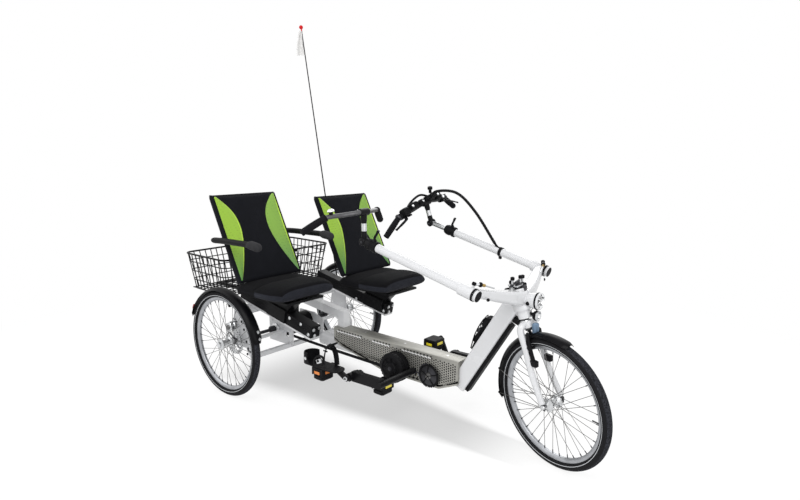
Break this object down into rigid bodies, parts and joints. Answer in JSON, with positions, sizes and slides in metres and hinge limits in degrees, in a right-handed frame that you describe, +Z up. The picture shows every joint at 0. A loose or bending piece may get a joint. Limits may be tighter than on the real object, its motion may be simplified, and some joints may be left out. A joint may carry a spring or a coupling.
{
  "type": "side-by-side therapy tricycle",
  "caption": "Side-by-side tandem therapy tricycle with reclined seats, steered front wheel, paired handlebars on long columns, pedals, rear basket and flag.",
  "frame": {"origin": "on the ground under the middle of the bounding box", "axes": "+X forward, +Y to the riders' left, +Z up"},
  "size_m": [2.5222, 1.2202, 2.117],
  "materials": {
    "white_paint": "gloss",
    "black_paint": "satin",
    "black_plastic": "matte",
    "tyre_rubber": "matte",
    "silver_metal": "satin",
    "deck_metal": "satin",
    "seat_fabric": "woven",
    "lamp_plastic": "gloss",
    "red_plastic": "gloss",
    "flag_cloth": "woven"
  },
  "bodies": {
    "frame": {"main_beam": "white_paint", "down_tube": "white_paint", "head_tube": "white_paint", "steering_yoke": "white_paint", "deck_cover": "deck_metal", "seat_post": "white_paint", "cross_beam": "white_paint", "axle_carrier": "white_paint", "gear_housing": "black_paint", "seat_rails": "white_paint", "rail_tracks": "black_paint", "mudguard_right": "black_plastic", "mudguard_left": "black_plastic", "basket": "black_paint", "basket_carrier": "black_paint", "tail_lamps": "red_plastic", "flag_pole": "black_paint", "flag": "flag_cloth", "crank_carrier_right": "black_paint", "crank_carrier_left": "black_paint", "drive_discs": "black_paint", "chain_tube": "black_plastic", "cable_cover": "black_plastic", "lock_holder": "black_plastic", "rear_calipers": "silver_metal", "headlamp": "lamp_plastic", "lower_lamp": "lamp_plastic", "column_tube_right": "white_paint", "stem_right": "black_paint", "handlebar_right": "black_paint"},
    "steering": {"fork": "white_paint", "front_mudguard": "black_plastic", "front_brake": "black_paint"},
    "front_wheel": {"front_tyre": "tyre_rubber", "front_rim": "silver_metal"},
    "rear_wheel_right": {"rear_tyre_right": "tyre_rubber", "rear_rim_right": "silver_metal", "axle_shaft_right": "silver_metal"},
    "rear_wheel_left": {"rear_tyre_left": "tyre_rubber", "rear_rim_left": "silver_metal", "axle_shaft_left": "silver_metal"},
    "column_left": {"column_tube_left": "white_paint", "stem_left": "black_paint", "handlebar_left": "black_paint", "controls_left": "black_plastic", "harness": "black_plastic"},
    "crank_right": {"crankset_right": "black_paint"},
    "crank_left": {"crankset_left": "black_paint"},
    "pedal_right_outer": {"pedal_right_outer": "black_plastic"},
    "pedal_right_inner": {"pedal_right_inner": "black_plastic"},
    "pedal_left_outer": {"pedal_left_outer": "black_plastic"},
    "pedal_left_inner": {"pedal_left_inner": "black_plastic"},
    "seat_right": {"seat_base_right": "black_paint", "seat_back_right": "seat_fabric", "seat_cushion_right": "seat_fabric"},
    "seat_left": {"seat_base_left": "black_paint", "seat_back_left": "seat_fabric", "seat_cushion_left": "seat_fabric"},
    "armrest_right_arm": {"armrest_right": "black_plastic"},
    "armrest_left_arm": {"armrest_left": "black_plastic"}
  },
  "joints": [
    {"name": "steering_turn", "type": "hinge", "parent": "frame", "child": "steering", "pos_m": [0.82387, 0.00545, 0.636], "axis": [-0.342, 0, 0.9397], "range_deg": [-23.5, 56.5]},
    {"name": "front_wheel_spin", "type": "hinge", "parent": "steering", "child": "front_wheel", "pos_m": [0.97093, -0.00146, 0.30016], "axis": [0.2669, 0.9588, 0.0971], "continuous": true},
    {"name": "rear_wheel_right_spin", "type": "hinge", "parent": "frame", "child": "rear_wheel_right", "pos_m": [-0.76113, -0.47655, 0.3005], "axis": [0, 1, 0], "continuous": true},
    {"name": "rear_wheel_left_spin", "type": "hinge", "parent": "frame", "child": "rear_wheel_left", "pos_m": [-0.76113, 0.48745, 0.3005], "axis": [0, 1, 0], "continuous": true},
    {"name": "column_left_turn", "type": "hinge", "parent": "frame", "child": "column_left", "pos_m": [0.75087, 0.31645, 0.803], "axis": [0.9708, 0, -0.2399], "range_deg": [-42.38, 17.62]},
    {"name": "crank_right_spin", "type": "hinge", "parent": "frame", "child": "crank_right", "pos_m": [0.03887, -0.27955, 0.262], "axis": [0, 1, 0], "continuous": true},
    {"name": "pedal_right_inner_spin", "type": "hinge", "parent": "crank_right", "child": "pedal_right_inner", "pos_m": [0.13936, -0.17155, 0.21726], "axis": [0, 1, 0], "continuous": true},
    {"name": "pedal_right_outer_spin", "type": "hinge", "parent": "crank_right", "child": "pedal_right_outer", "pos_m": [-0.06162, -0.38755, 0.30674], "axis": [0, 1, 0], "continuous": true},
    {"name": "crank_left_spin", "type": "hinge", "parent": "frame", "child": "crank_left", "pos_m": [0.23887, 0.29045, 0.262], "axis": [0, 1, 0], "continuous": true},
    {"name": "pedal_left_outer_spin", "type": "hinge", "parent": "crank_left", "child": "pedal_left_outer", "pos_m": [0.28362, 0.39845, 0.16151], "axis": [0, 1, 0], "continuous": true},
    {"name": "pedal_left_inner_spin", "type": "hinge", "parent": "crank_left", "child": "pedal_left_inner", "pos_m": [0.19413, 0.18245, 0.36249], "axis": [0, 1, 0], "continuous": true},
    {"name": "seat_right_slide", "type": "slide", "parent": "frame", "child": "seat_right", "axis": [0.9807, 0, -0.1955], "range_m": [0, 0.2]},
    {"name": "seat_left_slide", "type": "slide", "parent": "frame", "child": "seat_left", "axis": [0.9807, 0, -0.1955], "range_m": [-0.175, 0.025]},
    {"name": "armrest_right_lift", "type": "hinge", "parent": "seat_right", "child": "armrest_right_arm", "pos_m": [-0.72113, -0.53355, 0.892], "axis": [0, -1, 0], "range_deg": [0, 95]},
    {"name": "armrest_left_lift", "type": "hinge", "parent": "seat_right", "child": "armrest_left_arm", "pos_m": [-0.72113, -0.04555, 0.892], "axis": [0, -1, 0], "range_deg": [0, 95]}
  ],
  "couplings": [
    {"joint": "column_left_turn", "follows": "steering_turn", "ratio": -0.75},
    {"joint": "pedal_right_outer_spin", "follows": "crank_right_spin", "ratio": -1}
  ]
}
